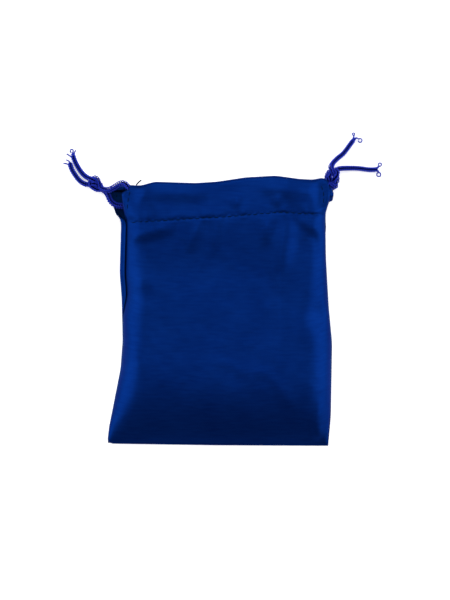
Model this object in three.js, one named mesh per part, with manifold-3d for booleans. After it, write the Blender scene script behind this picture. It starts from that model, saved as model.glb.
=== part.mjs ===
// Drawstring gift pouch lying flat, mouth towards +Y. Millimetres, +Z up.
// The satin bag is two panels closed along both sides and folded at the bottom. Each panel's
// mouth edge is turned over a casing facing, which makes a tunnel. Two looped cords run through
// both tunnels and leave by the open slits above the side seams.
import * as THREE from 'three';
import Module from 'manifold-3d';
import { mergeVertices } from 'three/addons/utils/BufferGeometryUtils.js';

const wasm = await Module();
wasm.setup();

// Cloth, cord and thread
const CLOTH = 0.4;
const CLEARANCE = 0.3;
const CORD_RADIUS = 1.0;
const THREAD_RADIUS = 0.2;
const FRAY_RADIUS = 0.22;

// Faces of round cords and threads
const CORD_SIDES = 8;
const THREAD_SIDES = 6;

// Heights of the cloth mid-surfaces
const FLOOR_Z = CLOTH / 2;
const TUNNEL = 2 * (CORD_RADIUS + CLEARANCE) + CLOTH;
const CASING_TOP = 11.2;
const BODY_TOP = 9.6;
const SEAM_Z = 1.8;
const FOLD_Z = 1.7;
const FOLD_RADIUS = 0.8;
const FRONT_ROW_Z = CASING_TOP - TUNNEL / 2;
const BACK_ROW_Z = FLOOR_Z + TUNNEL / 2;

// Y of the cord rows in the tunnels
const RIGHT_CORD_FRONT_Y = 42.6;
const RIGHT_CORD_BACK_Y = 44.0;
const LEFT_CORD_FRONT_Y = 45.7;
const LEFT_CORD_BACK_Y = 40.0;

// Drawcord routes, from the knot round the loop and back to the knot
const RIGHT_LOOP = [
  [42.5, 47.3, 6.6], [42.3, 45.8, 7.8], [41.8, 44.0, 9.0], [40.2, 42.9, 9.6],
  [38.0, RIGHT_CORD_FRONT_Y, FRONT_ROW_Z], [35.0, RIGHT_CORD_FRONT_Y, FRONT_ROW_Z],
  [-31.0, RIGHT_CORD_FRONT_Y, FRONT_ROW_Z], [-33.8, RIGHT_CORD_FRONT_Y, FRONT_ROW_Z],
  [-35.2, 42.8, 9.1], [-35.8, 43.1, 7.7], [-35.8, 43.5, 3.7], [-35.2, 43.8, 2.3],
  [-33.8, RIGHT_CORD_BACK_Y, BACK_ROW_Z], [-31.0, RIGHT_CORD_BACK_Y, BACK_ROW_Z],
  [34.0, RIGHT_CORD_BACK_Y, BACK_ROW_Z], [37.0, RIGHT_CORD_BACK_Y, BACK_ROW_Z],
  [39.4, 44.1, 2.2], [41.4, 44.9, 2.4], [42.9, 46.4, 2.4],
];
const LEFT_LOOP = [
  [-44.6, 47.3, 3.6], [-43.0, 46.6, 4.3], [-41.1, 46.6, 5.2], [-38.9, 47.7, 7.0],
  [-37.2, 48.5, 8.4], [-36.0, 48.2, 9.2], [-35.4, 47.0, 9.6], [-34.3, 46.0, FRONT_ROW_Z],
  [-32.6, LEFT_CORD_FRONT_Y, FRONT_ROW_Z], [-30.0, LEFT_CORD_FRONT_Y, FRONT_ROW_Z],
  [35.0, LEFT_CORD_FRONT_Y, FRONT_ROW_Z], [37.4, LEFT_CORD_FRONT_Y, FRONT_ROW_Z],
  [38.8, 45.3, 9.1], [39.4, 44.6, 8.0], [39.4, 41.4, 3.4], [38.8, 40.4, 2.2],
  [37.4, LEFT_CORD_BACK_Y, BACK_ROW_Z], [35.0, LEFT_CORD_BACK_Y, BACK_ROW_Z],
  [-34.0, LEFT_CORD_BACK_Y, BACK_ROW_Z], [-37.0, LEFT_CORD_BACK_Y, BACK_ROW_Z],
  [-39.2, LEFT_CORD_BACK_Y, 2.3], [-41.1, 41.1, 2.3], [-42.4, 43.0, 1.9],
  [-43.6, 44.5, 1.7], [-45.0, 45.4, 1.8],
];

// Knots: centre, direction of the knot's long axis, half length and half width
const RIGHT_KNOT = { at: [42.8, 50.9, 3.3], axis: [-0.5, 0.86, 0], half: 3.8, girth: 2.7 };
const LEFT_KNOT = { at: [-47.6, 48.3, 2.8], axis: [0.35, 0.94, 0], half: 2.9, girth: 2.4 };

// Free tails lying on the table, from the knot out to the cut end
const TAIL_Z = 1.05;
const RIGHT_UPPER_TAIL = [
  [42.1, 55.1, 3.0], [43.1, 56.5, 2.1], [45.1, 58.4, 1.2], [47.0, 59.9, TAIL_Z],
  [48.4, 61.7, TAIL_Z], [49.8, 63.6, TAIL_Z], [51.2, 65.5, TAIL_Z],
];
const RIGHT_LOWER_TAIL = [
  [45.2, 53.6, 2.7], [47.2, 54.1, 1.8], [49.3, 54.4, 1.2], [52.1, 54.4, TAIL_Z],
  [54.7, 54.1, TAIL_Z], [57.1, 53.8, TAIL_Z], [60.1, 53.9, TAIL_Z],
];
const LEFT_UPPER_TAIL = [
  [-49.9, 50.6, 2.0], [-51.1, 51.0, 1.5], [-52.5, 52.6, 1.1], [-54.0, 54.8, TAIL_Z],
  [-55.0, 56.7, TAIL_Z], [-55.7, 58.5, TAIL_Z], [-55.9, 59.8, TAIL_Z],
];
const LEFT_LOWER_TAIL = [
  [-50.5, 47.9, 2.0], [-51.6, 48.2, 1.6], [-53.1, 49.4, 1.1], [-54.4, 50.9, TAIL_Z],
  [-55.5, 52.5, TAIL_Z], [-56.6, 54.3, TAIL_Z], [-57.1, 55.6, TAIL_Z],
];

// Where the body's dome gives way to the level casing
const CASING_START_Y = 31;
const CASING_LEVEL_Y = 41;
const BACK_HEM_Y = 34.8;

// Radius of the mouth fold and how far the facings stop short of each side
const MOUTH_FOLD = TUNNEL / 2;
const FACING_LEFT_X = -34.1;
const FACING_RIGHT_X = 37.6;

// Outline of the bag: [along, value] pairs joined by straight lines
const BOTTOM_EDGE = [[-42.9, -49.2], [-41.3, -50.4], [-1.3, -51.0], [41.1, -51.2]];
const MOUTH_EDGE = [
  [-33.3, 47.6], [-29.7, 47.4], [-24.5, 48.8], [-9.3, 48.3], [-1.3, 48.8], [9.9, 50.5],
  [21.1, 51.1], [29.9, 49.9], [35.1, 49.7], [39.5, 50.5],
];
const LEFT_SIDE = [
  [-51.0, -41.6], [-49.4, -42.8], [-43.2, -42.1], [-35.2, -40.5], [-21.6, -37.8], [-11.2, -37.0],
  [4.8, -37.3], [14.4, -38.0], [32.0, -37.4], [36.0, -37.6], [40.0, -38.2], [46.0, -38.8],
];
const RIGHT_SIDE = [
  [-51.2, 41.2], [-39.2, 42.3], [-10.4, 42.8], [2.4, 41.5], [20.8, 40.3], [36.0, 40.0],
  [44.0, 40.0], [49.0, 38.4],
];
const FRONT_SLIT_LEFT = [[36.0, -35.8], [38.0, -36.2], [44.4, -36.9], [45.9, -33.7]];
const FRONT_SLIT_RIGHT = [[36.0, 39.7], [42.4, 41.2], [46.0, 41.0], [49.0, 39.6]];
const SLIT_START_Y = 36;
const HEM_LINE = [[-36.0, 33.8], [-22.9, 34.4], [-9.3, 35.6], [1.9, 36.4], [14.7, 37.0], [40, 37.8]];

// Back panel edge that turns up at each side and unrolls to lie flat beside the slits
const TURN_RADIUS = 0.8;
const LEFT_TURN = 3.4;
const RIGHT_TURN = 2.6;
const LEFT_SEAM_INSET = 2.4;
const RIGHT_SEAM_INSET = 1.6;
const TURN_OPENS_Y = 29;
const TURN_FLAT_Y = 37;
const CORNER_CUT = 0.75;

// Body dome: how far up from the bottom fold it rises, where it starts to climb to the casing,
// and the two powers that set how full it is from side to side
const RISE_LENGTH = 26;
const CLIMB_START_Y = 12;
const DOME_FULLNESS = 2.8;
const DOME_SHOULDER = 0.72;

// Seam allowances: ends along the seam, inner and outer edges from the side, height
const SEAM_START_Y = -46.5;
const SEAM_END_Y = 33.5;
const ALLOWANCE_OUTER = 2.6;
const ALLOWANCE_INNER = 7.2;
const ALLOWANCE_Z = 1.15;
const SEAM_THREAD_INSET = 1.9;
const SEAM_THREAD_Z = 1.0;

// How far the facing reaches past the hem stitches, and where its tunnel opens to full height
const HEM_LAP = 0.8;
const TUNNEL_OPENS = 0.2;
const TUNNEL_FULL = 3.4;
const SLIT_STITCH_INSET = 1.8;

function clamp01(t) {
  return Math.min(1, Math.max(0, t));
}

function ease(from, to, at) {
  const t = clamp01((at - from) / (to - from));
  return t * t * (3 - 2 * t);
}

function mix(a, b, t) {
  return a + (b - a) * t;
}

function along(line, at) {
  let last = line[0];
  for (const next of line) {
    if (at <= next[0]) {
      const span = next[0] - last[0];
      return span > 0 ? mix(last[1], next[1], clamp01((at - last[0]) / span)) : next[1];
    }
    last = next;
  }
  return last[1];
}

function steps(count) {
  return Array.from({ length: count + 1 }, (_, i) => i / count);
}

// Closed sheet of cloth whose mid-surface is given point by point, as rows of Vector3
function clothSheet(rows, thickness = CLOTH) {
  const high = rows.length;
  const wide = rows[0].length;
  const within = (k, count) => Math.min(count - 1, Math.max(0, k));
  const at = (j, i) => rows[within(j, high)][within(i, wide)];
  const positions = [];
  for (const side of [1, -1]) {
    for (let j = 0; j < high; j += 1) {
      for (let i = 0; i < wide; i += 1) {
        const across = at(j, i + 1).clone().sub(at(j, i - 1));
        const up = at(j + 1, i).clone().sub(at(j - 1, i));
        const normal = across.cross(up).normalize().multiplyScalar((side * thickness) / 2);
        positions.push(...at(j, i).clone().add(normal).toArray());
      }
    }
  }
  const under = high * wide;
  const index = [];
  const quad = (a, b, c, d) => index.push(a, b, c, a, c, d);
  for (let j = 0; j < high - 1; j += 1) {
    for (let i = 0; i < wide - 1; i += 1) {
      const a = j * wide + i;
      quad(a, a + 1, a + wide + 1, a + wide);
      quad(under + a, under + a + wide, under + a + wide + 1, under + a + 1);
    }
  }
  for (let i = 0; i < wide - 1; i += 1) {
    const top = (high - 1) * wide + i;
    quad(i, under + i, under + i + 1, i + 1);
    quad(top, top + 1, under + top + 1, under + top);
  }
  for (let j = 0; j < high - 1; j += 1) {
    const left = j * wide;
    const right = left + wide - 1;
    quad(left, left + wide, under + left + wide, under + left);
    quad(right, under + right, under + right + wide, right + wide);
  }
  const geometry = new THREE.BufferGeometry();
  geometry.setAttribute('position', new THREE.Float32BufferAttribute(positions, 3));
  geometry.setIndex(index);
  geometry.computeVertexNormals();
  return geometry;
}

function roundTube(points, radius, count, sides = CORD_SIDES) {
  const path = points.map((p) => new THREE.Vector3(...p));
  const curve = new THREE.CatmullRomCurve3(path, false, 'centripetal');
  const section = new THREE.Shape(
    steps(sides).slice(0, -1).map((t) => new THREE.Vector2(
      radius * Math.cos(2 * Math.PI * t),
      radius * Math.sin(2 * Math.PI * t),
    )),
  );
  return new THREE.ExtrudeGeometry(section, { extrudePath: curve, steps: count, curveSegments: 1 });
}

// Height of the front panel's mid-surface. s runs from -1 at the left edge to 1 at the right.
function frontHeight(s, y, bottom) {
  const rise = Math.sin((Math.PI / 2) * clamp01((y - bottom) / RISE_LENGTH));
  const climb = (CASING_TOP - BODY_TOP) * ease(CLIMB_START_Y, CASING_LEVEL_Y, y);
  const crown = FOLD_Z + (BODY_TOP - FOLD_Z) * rise + climb;
  const dome = Math.pow(1 - Math.pow(Math.abs(s), DOME_FULLNESS), DOME_SHOULDER);
  const body = Math.min(SEAM_Z, crown) + (crown - Math.min(SEAM_Z, crown)) * dome;
  return mix(body, CASING_TOP, ease(CASING_START_Y, CASING_LEVEL_Y, y));
}

function frontLeft(y) {
  if (y >= SLIT_START_Y) return along(FRONT_SLIT_LEFT, y);
  return along(LEFT_SIDE, y) + LEFT_SEAM_INSET;
}

function frontRight(y) {
  if (y >= SLIT_START_Y) return along(FRONT_SLIT_RIGHT, y);
  return along(RIGHT_SIDE, y) - mix(RIGHT_SEAM_INSET, CLEARANCE, ease(30, SLIT_START_Y, y));
}

function mouthStart(x) {
  return along(MOUTH_EDGE, x) - MOUTH_FOLD - CLOTH / 2;
}

// Row heights from the bottom fold (0) to the start of the mouth fold (1)
const BODY_ROWS = [
  0, 0.015, 0.035, 0.06, 0.1, 0.15, 0.22, 0.3, 0.4, 0.5, 0.6, 0.7, 0.78,
  0.82, 0.85, 0.875, 0.9, 0.925, 0.95, 0.975, 1,
];
const SIDE_COLUMNS = [0, 0.012, 0.03, 0.06, 0.1, 0.16, 0.24, 0.33, 0.42];
const COLUMNS = [...SIDE_COLUMNS, 0.5, ...SIDE_COLUMNS.map((u) => 1 - u).reverse()];

function frontPanel() {
  const frontBottom = (x) => along(BOTTOM_EDGE, x) + FOLD_RADIUS + CLOTH / 2;
  const rows = BODY_ROWS.map((v) => {
    const left = frontLeft(mix(-49.5, 45.9, v));
    const right = frontRight(mix(-49.7, 48.9, v));
    return COLUMNS.map((u) => {
      const x = mix(left, right, u);
      const y = mix(frontBottom(x), mouthStart(x), v);
      return new THREE.Vector3(x, y, frontHeight(2 * u - 1, y, frontBottom(x)));
    });
  });
  const top = rows[rows.length - 1];
  for (const t of steps(6).slice(1)) {
    const angle = Math.PI * t;
    rows.push(top.map((p) => new THREE.Vector3(
      p.x,
      p.y + MOUTH_FOLD * Math.sin(angle),
      FRONT_ROW_Z + MOUTH_FOLD * Math.cos(angle),
    )));
  }
  const bottom = rows[0];
  for (const t of steps(3).slice(1)) {
    const angle = (Math.PI / 2) * t;
    rows.unshift(bottom.map((p) => new THREE.Vector3(
      p.x,
      p.y - FOLD_RADIUS * Math.sin(angle),
      FOLD_Z - FOLD_RADIUS * (1 - Math.cos(angle)),
    )));
  }
  return clothSheet(rows);
}

// Point on the back panel's turned-up side, a given length past where the turn starts
function turnedPoint(length, y) {
  const opening = ease(TURN_OPENS_Y, TURN_FLAT_Y, y);
  const radius = TURN_RADIUS / Math.max(0.001, 1 - opening);
  const angle = Math.min(Math.PI, length / radius);
  const past = Math.max(0, length - Math.PI * radius);
  return [radius * Math.sin(angle) - past, radius * (1 - Math.cos(angle))];
}

function backPanel() {
  const leftTurn = (y) => along(LEFT_SIDE, y) + CLOTH / 2 + TURN_RADIUS;
  const rightTurn = (y) => along(RIGHT_SIDE, y) - CLOTH / 2 - TURN_RADIUS;
  const turns = steps(8).slice(1);
  const floorRow = (v) => {
    const left = leftTurn(mix(-49.0, 45.8, v));
    const right = rightTurn(mix(-49.4, 48.8, v));
    const point = (x, length, side) => {
      const y = mix(along(BOTTOM_EDGE, x) + CLOTH / 2, mouthStart(x), v);
      const [out, up] = turnedPoint(length, y);
      return new THREE.Vector3(x + side * out, y, FLOOR_Z + up);
    };
    const cornerCut = 1 - CORNER_CUT * ease(0.96, 1, v);
    return [
      ...turns.map((t) => point(left, LEFT_TURN * t * cornerCut, -1)).reverse(),
      ...steps(12).map((u) => point(mix(left, right, u), 0, 0)),
      ...turns.map((t) => point(right, RIGHT_TURN * t * cornerCut, 1)),
    ];
  };
  const rows = BODY_ROWS.map(floorRow);
  const top = rows[rows.length - 1];
  for (const t of steps(6).slice(1)) {
    const angle = Math.PI * t;
    rows.push(top.map((p) => new THREE.Vector3(
      p.x,
      p.y + MOUTH_FOLD * Math.sin(angle),
      BACK_ROW_Z - MOUTH_FOLD * Math.cos(angle),
    )));
  }
  return clothSheet(rows);
}

// Cloth facing inside a casing: stitched close to the panel at the hem, a tunnel away above it
function casingFacing(hemY, midHeight, inward) {
  const rows = [0, 0.06, 0.13, 0.2, 0.28, 0.36, 0.5, 0.75, 1].map((v) => steps(12).map((u) => {
    const x = mix(FACING_LEFT_X, FACING_RIGHT_X, u);
    const hem = hemY(x);
    const y = mix(hem - HEM_LAP, mouthStart(x) - CLEARANCE, v);
    const tunnel = mix(CLOTH + CLEARANCE, TUNNEL, ease(hem + TUNNEL_OPENS, hem + TUNNEL_FULL, y));
    return new THREE.Vector3(x, y, midHeight(x, y) + inward * tunnel);
  }));
  return clothSheet(rows);
}

function frontHeightAt(x, y) {
  const s = (2 * (x - frontLeft(y))) / (frontRight(y) - frontLeft(y)) - 1;
  return frontHeight(Math.max(-1, Math.min(1, s)), y, along(BOTTOM_EDGE, x) + FOLD_RADIUS);
}

// Two layers of cloth pressed together inside the bag beside a side seam
function seamAllowance(inner, outer) {
  const rows = steps(14).map((v) => {
    const y = mix(SEAM_START_Y, SEAM_END_Y, v);
    return steps(1).map((u) => new THREE.Vector3(mix(outer(y), inner(y), u), y, ALLOWANCE_Z));
  });
  return clothSheet(rows, 2 * CLOTH);
}

// Point lifted off the outside of the front panel, square to the cloth
function offFront(x, y, lift) {
  const step = 0.5;
  const at = (px, py) => new THREE.Vector3(px, py, frontHeightAt(px, py));
  const across = at(x + step, y).sub(at(x - step, y));
  const up = at(x, y + step).sub(at(x, y - step));
  return at(x, y).add(across.cross(up).normalize().multiplyScalar(lift)).toArray();
}

function asManifold(geometry) {
  const bare = geometry.clone();
  bare.deleteAttribute('normal');
  bare.deleteAttribute('uv');
  const merged = mergeVertices(bare, 1e-4);
  return new wasm.Manifold(new wasm.Mesh({
    numProp: 3,
    vertProperties: new Float32Array(merged.attributes.position.array),
    triVerts: new Uint32Array(merged.index.array),
  }));
}

function asGeometry(manifold) {
  const mesh = manifold.getMesh();
  const geometry = new THREE.BufferGeometry();
  geometry.setAttribute('position', new THREE.Float32BufferAttribute(mesh.vertProperties, 3));
  geometry.setIndex([...mesh.triVerts]);
  geometry.computeVertexNormals();
  return geometry;
}

// A pulled-tight overhand knot: a full core with three turns of cord wrapped about it
function knotSolid({ at, axis, half, girth }) {
  const core = new THREE.SphereGeometry(1, 12, 8);
  core.scale(girth * 0.85, half * 0.9, girth * 0.85);
  let solid = asManifold(core);
  for (const [shift, tilt, turn] of [[-0.42, 0.5, 0.3], [0, -0.45, 1.6], [0.42, 0.4, 2.8]]) {
    const wrap = new THREE.TorusGeometry(girth - CORD_RADIUS, CORD_RADIUS, 8, 12);
    wrap.rotateX(Math.PI / 2);
    wrap.rotateZ(tilt);
    wrap.rotateY(turn);
    wrap.translate(0, shift * (half - CORD_RADIUS) * 1.9, 0);
    solid = solid.add(asManifold(wrap));
  }
  const geometry = asGeometry(solid);
  const direction = new THREE.Vector3(...axis).normalize();
  const alongY = new THREE.Vector3(0, 1, 0);
  geometry.applyQuaternion(new THREE.Quaternion().setFromUnitVectors(alongY, direction));
  geometry.translate(...at);
  return geometry;
}

// Points round an arc lying flat, angles in degrees
function arc([x, y, z], radius, from, to, count = 8) {
  return steps(count).map((t) => {
    const angle = THREE.MathUtils.degToRad(mix(from, to, t));
    return [x + radius * Math.cos(angle), y + radius * Math.sin(angle), z];
  });
}

function material(color, roughness) {
  return new THREE.MeshStandardMaterial({ color, roughness, metalness: 0 });
}


const SATIN = material(0x0b3a86, 0.45);
const FACING = material(0x0a2f70, 0.55);
const CORD = material(0x2a2a9a, 0.7);
const THREAD = material(0x101c33, 0.8);

function add(group, name, geometry, look) {
  const mesh = new THREE.Mesh(geometry, look.clone());
  mesh.name = name;
  group.add(mesh);
}

function addBag(group) {
  add(group, 'front_panel', frontPanel(), SATIN);
  add(group, 'back_panel', backPanel(), SATIN);
  const frontFacing = casingFacing((x) => along(HEM_LINE, x), frontHeightAt, -1);
  const backFacing = casingFacing(() => BACK_HEM_Y, () => FLOOR_Z, 1);
  add(group, 'front_casing_facing', frontFacing, FACING);
  add(group, 'back_casing_facing', backFacing, FACING);
  add(group, 'left_seam_allowance', seamAllowance(
    (y) => along(LEFT_SIDE, y) + ALLOWANCE_INNER,
    (y) => along(LEFT_SIDE, y) + ALLOWANCE_OUTER,
  ), FACING);
  add(group, 'right_seam_allowance', seamAllowance(
    (y) => along(RIGHT_SIDE, y) - ALLOWANCE_OUTER,
    (y) => along(RIGHT_SIDE, y) - ALLOWANCE_INNER,
  ), FACING);
}

// Sewing thread lying along the seams; each row of stitches is one continuous thread
function addStitching(group) {
  const thread = (name, points, count) => {
    add(group, name, roundTube(points, THREAD_RADIUS, count, THREAD_SIDES), THREAD);
  };
  const lift = CLOTH / 2 + CLEARANCE + THREAD_RADIUS;
  thread('front_hem_stitching', steps(24).map((t) => {
    const x = mix(-33.6, 38.4, t);
    return offFront(x, along(HEM_LINE, x), lift);
  }), 40);
  thread('back_hem_stitching', steps(6).map((t) => [
    mix(-33.0, 36.6, t),
    BACK_HEM_Y,
    FLOOR_Z + CLOTH + CLEARANCE + lift,
  ]), 12);
  thread('front_left_slit_stitching', steps(6).map((t) => {
    const y = mix(37.5, 44.8, t);
    return offFront(along(FRONT_SLIT_LEFT, y) + SLIT_STITCH_INSET, y, lift);
  }), 8);
  thread('front_right_slit_stitching', steps(6).map((t) => {
    const y = mix(40.5, 47.6, t);
    return offFront(along(FRONT_SLIT_RIGHT, y) - SLIT_STITCH_INSET, y, lift);
  }), 8);
  const backZ = FLOOR_Z + lift;
  thread('back_left_slit_stitching', [
    [-39.3, 41.8, backZ], [-39.4, 43.3, backZ], [-39.5, 44.8, backZ],
  ], 4);
  thread('back_right_slit_stitching', [
    [40.2, 38.2, backZ], [40.2, 40.2, backZ], [40.2, 42.3, backZ],
  ], 5);
  thread('left_seam_stitching', steps(16).map((t) => {
    const y = mix(SEAM_START_Y, SEAM_END_Y, t);
    return [along(LEFT_SIDE, y) + SEAM_THREAD_INSET, y, SEAM_THREAD_Z];
  }), 20);
  thread('right_seam_stitching', steps(16).map((t) => {
    const y = mix(SEAM_START_Y, SEAM_END_Y, t);
    return [along(RIGHT_SIDE, y) - SEAM_THREAD_INSET, y, SEAM_THREAD_Z];
  }), 20);
  thread('loose_thread_end', [[-31.5, 48.0, 9.9], [-30.7, 48.8, 9.9], [-29.7, 49.3, 9.9]], 5);
}

function addCords(group) {
  const cord = (name, points, count) => {
    add(group, name, roundTube(points, CORD_RADIUS, count), CORD);
  };
  cord('right_cord_loop', RIGHT_LOOP, 80);
  cord('left_cord_loop', LEFT_LOOP, 80);
  cord('right_cord_upper_tail', RIGHT_UPPER_TAIL, 8);
  cord('right_cord_lower_tail', RIGHT_LOWER_TAIL, 8);
  cord('left_cord_upper_tail', LEFT_UPPER_TAIL, 8);
  cord('left_cord_lower_tail', LEFT_LOWER_TAIL, 8);
  add(group, 'right_cord_knot', knotSolid(RIGHT_KNOT), CORD);
  add(group, 'left_cord_knot', knotSolid(LEFT_KNOT), CORD);
}

// Sealed yarn ends that curl out of each cut tail
function addFrays(group) {
  const fray = (name, points) => add(group, name, roundTube(points, FRAY_RADIUS, 26, THREAD_SIDES), CORD);
  fray('right_upper_tail_fray', [
    ...arc([51.0, 67.5, 0.8], 0.45, 200, -40),
    [52.0, 66.9, 0.8],
    ...arc([53.5, 65.0, 0.7], 0.7, 140, -160),
  ]);
  fray('right_lower_tail_fray', [
    ...arc([61.0, 55.8, 0.7], 0.65, 215, -60),
    [61.3, 54.6, 0.8], [61.2, 53.4, 0.8],
    ...arc([60.6, 51.9, 0.7], 0.8, 50, -240),
  ]);
  fray('left_upper_tail_fray', [
    [-54.9, 61.2, 0.7], [-55.4, 60.7, 0.8],
    ...arc([-56.4, 61.4, 0.8], 0.45, -50, 230),
    [-57.2, 60.3, 0.7], [-58.3, 59.8, 0.5],
  ]);
  fray('left_lower_tail_fray', [
    [-59.5, 56.4, 0.5], [-58.7, 56.0, 0.7], [-58.2, 56.3, 0.8], [-58.2, 57.0, 0.7], [-58.6, 57.7, 0.6],
  ]);
}

const group = new THREE.Group();
group.name = 'drawstring_gift_pouch';
addBag(group);
addStitching(group);
addCords(group);
addFrays(group);
export default group;
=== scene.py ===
import math

import bpy
import numpy as np
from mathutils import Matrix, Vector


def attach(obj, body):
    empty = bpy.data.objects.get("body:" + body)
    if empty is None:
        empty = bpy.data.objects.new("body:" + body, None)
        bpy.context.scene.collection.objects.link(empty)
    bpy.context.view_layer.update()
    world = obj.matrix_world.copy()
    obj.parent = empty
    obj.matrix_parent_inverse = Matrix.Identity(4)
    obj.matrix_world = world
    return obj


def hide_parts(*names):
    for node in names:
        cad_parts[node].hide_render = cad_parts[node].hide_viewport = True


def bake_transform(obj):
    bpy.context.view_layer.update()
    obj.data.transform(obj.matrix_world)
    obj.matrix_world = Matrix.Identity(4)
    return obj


MM = 0.001
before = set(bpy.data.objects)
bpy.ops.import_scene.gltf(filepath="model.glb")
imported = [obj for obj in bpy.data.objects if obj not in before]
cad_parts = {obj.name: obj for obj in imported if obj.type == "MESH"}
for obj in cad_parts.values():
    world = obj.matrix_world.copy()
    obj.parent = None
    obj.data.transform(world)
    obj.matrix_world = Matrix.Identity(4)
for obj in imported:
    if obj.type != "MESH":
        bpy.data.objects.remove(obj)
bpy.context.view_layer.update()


# ---- camera
LENS = 135.0
SENSOR = 36.0
# Metres seen from top to bottom at the level in focus, and the point in the middle
VIEW_HEIGHT = 0.228
VIEW_CENTRE = (0.0020, 0.0042)
VIEW_LEVEL = 0.003

camera_data = bpy.data.cameras.new("camera")
camera_data.lens = LENS
camera_data.sensor_width = SENSOR
camera = bpy.data.objects.new("camera", camera_data)
camera.location = (*VIEW_CENTRE, VIEW_LEVEL + VIEW_HEIGHT * LENS / SENSOR)
bpy.context.collection.objects.link(camera)
bpy.context.scene.camera = camera


# ---- helpers
def ease(start, end, at):
    """Rises smoothly from 0 at start to 1 at end."""
    t = np.clip((at - start) / (end - start), 0.0, 1.0)
    return t * t * (3.0 - 2.0 * t)


def mix(a, b, t):
    """a where t is 0 and b where t is 1."""
    return a + (b - a) * t


def soft_line(points, rounding):
    """A table of a line through the points whose corners are rounded over that many mm."""
    step = 0.25
    points = np.array(points, float)
    at = np.arange(points[0, 0] - 12.0, points[-1, 0] + 12.0, step)
    value = np.interp(at, points[:, 0], points[:, 1])
    count = max(1, int(rounding / step)) * 2 + 1
    window = np.hanning(count + 2)[1:-1]
    padded = np.pad(value, count // 2, mode="edge")
    value = np.convolve(padded, window / window.sum(), mode="valid")
    return at, value


def along(line, at):
    """The value of a soft_line there."""
    return np.interp(at, line[0], line[1])


def bell(t):
    """1 at t = 0, falling off smoothly to both sides."""
    return np.exp(-(t**2))


def unit(v):
    """The same directions with length 1."""
    length = np.linalg.norm(v, axis=-1, keepdims=True)
    return v / np.maximum(length, 1e-12)


def run_of(points):
    """Distance along the line at each of its points."""
    return np.concatenate([[0.0], np.cumsum(np.linalg.norm(np.diff(points, axis=0), axis=1))])


def points_at(at, run, points):
    """Points of a line at the given distances along it."""
    return np.stack([np.interp(at, run, points[:, k]) for k in range(3)], axis=1)


def ring_points(line, side, top, radius, sides):
    """A ring of points round each point of a line. radius has one number per point."""
    angle = np.linspace(0.0, math.tau, sides, endpoint=False)
    out = np.cos(angle)[None, :, None] * side[:, None] + np.sin(angle)[None, :, None] * top[:, None]
    return line[:, None] + radius[:, None, None] * out


def ring_quads(count, sides):
    """Faces of an open tube made of that many rings of points."""
    i = np.arange(count - 1)[:, None] * sides
    j = np.arange(sides)[None, :]
    nxt = (j + 1) % sides
    return np.stack([i + j, i + nxt, i + sides + nxt, i + sides + j], axis=2).reshape(-1, 4)


def closed_tube(count, sides, base=0):
    """Faces of a tube of rings with a flat polygon at each end, numbered from base."""
    faces = (ring_quads(count, sides) + base).tolist()
    faces.append([base + k for k in range(sides)][::-1])
    faces.append([base + (count - 1) * sides + k for k in range(sides)])
    return faces


def add_object(name, data):
    """An object with that data."""
    made = bpy.data.objects.new(name, data)
    bpy.context.collection.objects.link(made)
    return made


def mesh_object(name, verts, faces, material, uvs=None):
    """A smooth-shaded mesh from points in mm and faces, as an array or a list."""
    mesh = bpy.data.meshes.new(name)
    face_list = faces if isinstance(faces, list) else faces.tolist()
    mesh.from_pydata((np.asarray(verts) * MM).tolist(), [], face_list)
    if uvs is not None:
        layer = mesh.uv_layers.new(name="cloth")
        loops = np.asarray(faces).ravel()
        layer.data.foreach_set("uv", np.asarray(uvs)[loops].ravel())
    mesh.polygons.foreach_set("use_smooth", np.ones(len(mesh.polygons), bool))
    mesh.materials.append(material)
    mesh.update()
    return add_object(name, mesh)


# ---- materials
def new_material(name):
    material = bpy.data.materials.new(name)
    material.use_nodes = True
    nodes = material.node_tree.nodes
    return material, nodes, material.node_tree.links, nodes["Principled BSDF"]


def fill(node, **values):
    """Sets a node's inputs. Each is named with _ for every space in its name."""
    for name, value in values.items():
        node.inputs[name.replace("_", " ")].default_value = value


def maths(nodes, links, operation, *inputs):
    """A maths node. Each input is a number or the output of another node."""
    node = nodes.new("ShaderNodeMath")
    node.operation = operation
    for slot, value in enumerate(inputs):
        if isinstance(value, float):
            node.inputs[slot].default_value = value
        else:
            links.new(value, node.inputs[slot])
    return node.outputs["Value"]


def texture(nodes, links, kind, place, **values):
    """A texture node placed by the given coordinates."""
    node = nodes.new("ShaderNodeTex" + kind)
    links.new(place, node.inputs["Vector"])
    fill(node, **values)
    return node


# Sizes of the pattern, per metre of cloth, and of the lint
LINT_CELLS = 75.0
LINT_SIZE = 0.020
LINT_RARITY = 0.80
LINT_COLOR = (0.10, 0.22, 0.50, 1.0)
CLOUDS = 55.0
PICKS = 900.0
SLUBS = (170.0, 1100.0, 1.0)
CLOUD_SHARE = 0.45
WEAVE_DEPTH = 0.00004


def lint_specks(nodes, links, place, cloth_color):
    """A few pale specks of lint, each about half a millimetre wide."""
    cells = texture(nodes, links, "Voronoi", place, Scale=LINT_CELLS)
    small = maths(nodes, links, "LESS_THAN", cells.outputs["Distance"], LINT_SIZE)
    chosen = maths(nodes, links, "GREATER_THAN", cells.outputs["Color"], LINT_RARITY)
    lint = nodes.new("ShaderNodeMix")
    lint.data_type = "RGBA"
    factor, cloth, speck = (lint.inputs[k] for k in (0, 6, 7))
    speck.default_value = LINT_COLOR
    links.new(maths(nodes, links, "MULTIPLY", small, chosen), factor)
    links.new(cloth_color, cloth)
    return lint.outputs[2]


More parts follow.
